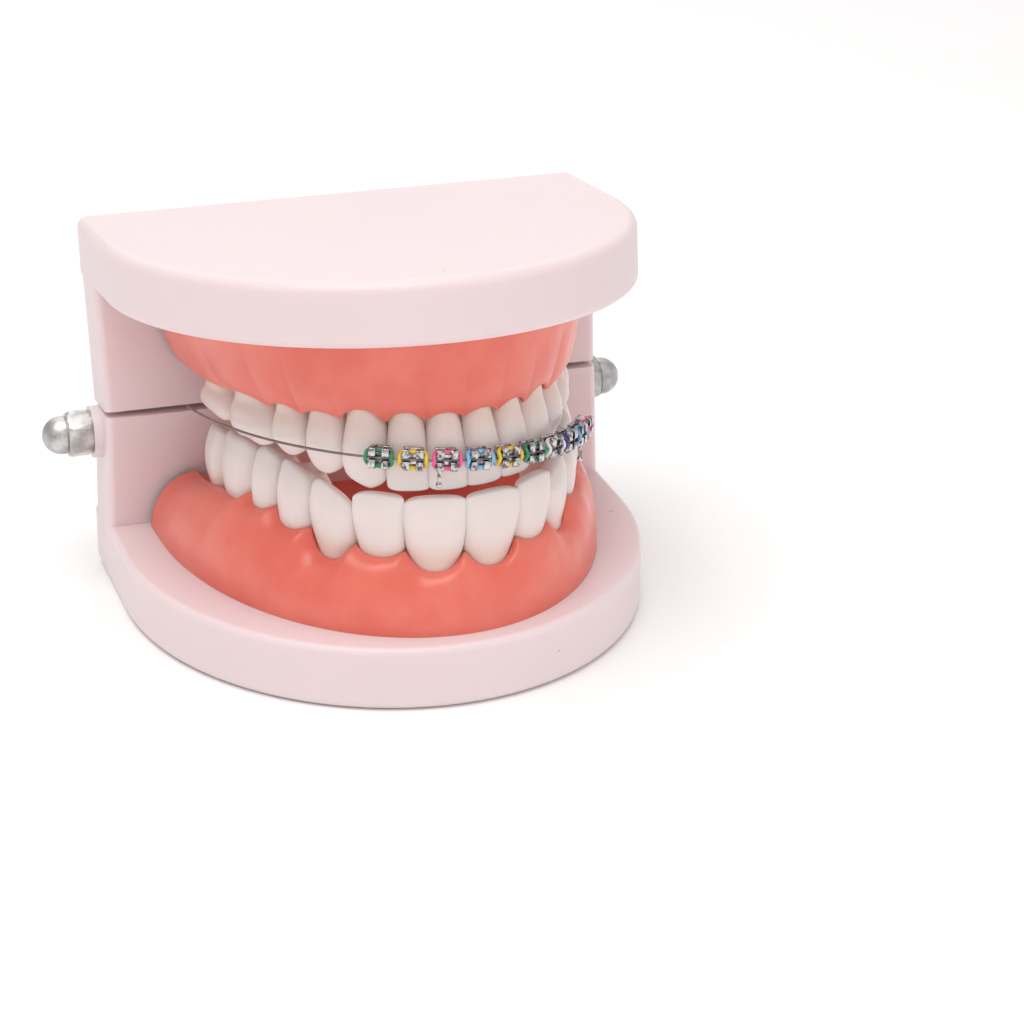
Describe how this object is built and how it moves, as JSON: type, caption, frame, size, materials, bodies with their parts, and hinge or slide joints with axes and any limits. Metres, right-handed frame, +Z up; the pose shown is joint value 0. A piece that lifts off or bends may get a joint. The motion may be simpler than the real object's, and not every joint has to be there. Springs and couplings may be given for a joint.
{
  "type": "typodont model",
  "caption": "Hinged dental typodont with two D-shaped bases, gums and full arches of teeth, and an orthodontic archwire with brackets and coloured elastics on the upper row.",
  "frame": {"origin": "middle of the flat rest face under the lower base, midway between its sides and midway from its front to its back face", "axes": "+X to the right seen from the front, +Y to the back, where the hinge is, +Z up"},
  "size_m": [0.0996, 0.0764, 0.0673],
  "materials": {
    "base_plastic": "satin, pale pink moulded PVC",
    "gum_plastic": "smooth coral-pink soft PVC",
    "tooth_plastic": "smooth ivory resin",
    "hinge_metal": "zinc-plated, mottled",
    "archwire_steel": "drawn spring wire",
    "bracket_steel": "bright cast stainless steel",
    "elastic_green": "glossy elastic",
    "elastic_yellow": "glossy elastic",
    "elastic_pink": "glossy elastic",
    "elastic_blue": "glossy elastic",
    "elastic_white": "glossy elastic",
    "elastic_purple": "glossy elastic"
  },
  "bodies": {
    "lower_jaw": {"lower_base": "base_plastic", "lower_gum": "gum_plastic", "lower_left_central": "tooth_plastic", "lower_left_lateral": "tooth_plastic", "lower_left_canine": "tooth_plastic", "lower_left_first_premolar": "tooth_plastic", "lower_left_second_premolar": "tooth_plastic", "lower_left_first_molar": "tooth_plastic", "lower_left_second_molar": "tooth_plastic", "lower_right_central": "tooth_plastic", "lower_right_lateral": "tooth_plastic", "lower_right_canine": "tooth_plastic", "lower_right_first_premolar": "tooth_plastic", "lower_right_second_premolar": "tooth_plastic", "lower_right_first_molar": "tooth_plastic", "lower_right_second_molar": "tooth_plastic", "hinge_rod": "hinge_metal", "cap_nuts": "hinge_metal"},
    "upper_jaw": {"upper_base": "base_plastic", "upper_gum": "gum_plastic", "upper_left_central": "tooth_plastic", "upper_left_lateral": "tooth_plastic", "upper_left_canine": "tooth_plastic", "upper_left_first_premolar": "tooth_plastic", "upper_left_second_premolar": "tooth_plastic", "upper_left_first_molar": "tooth_plastic", "upper_left_second_molar": "tooth_plastic", "upper_right_central": "tooth_plastic", "upper_right_lateral": "tooth_plastic", "upper_right_canine": "tooth_plastic", "upper_right_first_premolar": "tooth_plastic", "upper_right_second_premolar": "tooth_plastic", "upper_right_first_molar": "tooth_plastic", "upper_right_second_molar": "tooth_plastic", "archwire": "archwire_steel", "bracket_1": "bracket_steel", "bracket_2": "bracket_steel", "bracket_3": "bracket_steel", "bracket_4": "bracket_steel", "bracket_5": "bracket_steel", "bracket_6": "bracket_steel", "bracket_7": "bracket_steel", "bracket_8": "bracket_steel", "bracket_9": "bracket_steel", "bracket_10": "bracket_steel", "ligature_1": "elastic_green", "ligature_2": "elastic_yellow", "ligature_3": "elastic_pink", "ligature_4": "elastic_blue", "ligature_5": "elastic_yellow", "ligature_6": "elastic_green", "ligature_7": "elastic_white", "ligature_8": "elastic_purple", "ligature_9": "elastic_blue", "ligature_10": "elastic_pink"}
  },
  "joints": [
    {"name": "jaw_hinge", "type": "hinge", "parent": "lower_jaw", "child": "upper_jaw", "pos_m": [0, 0.0319, 0.0248], "axis": [-1, 0, 0], "range_deg": [0, 83]}
  ]
}
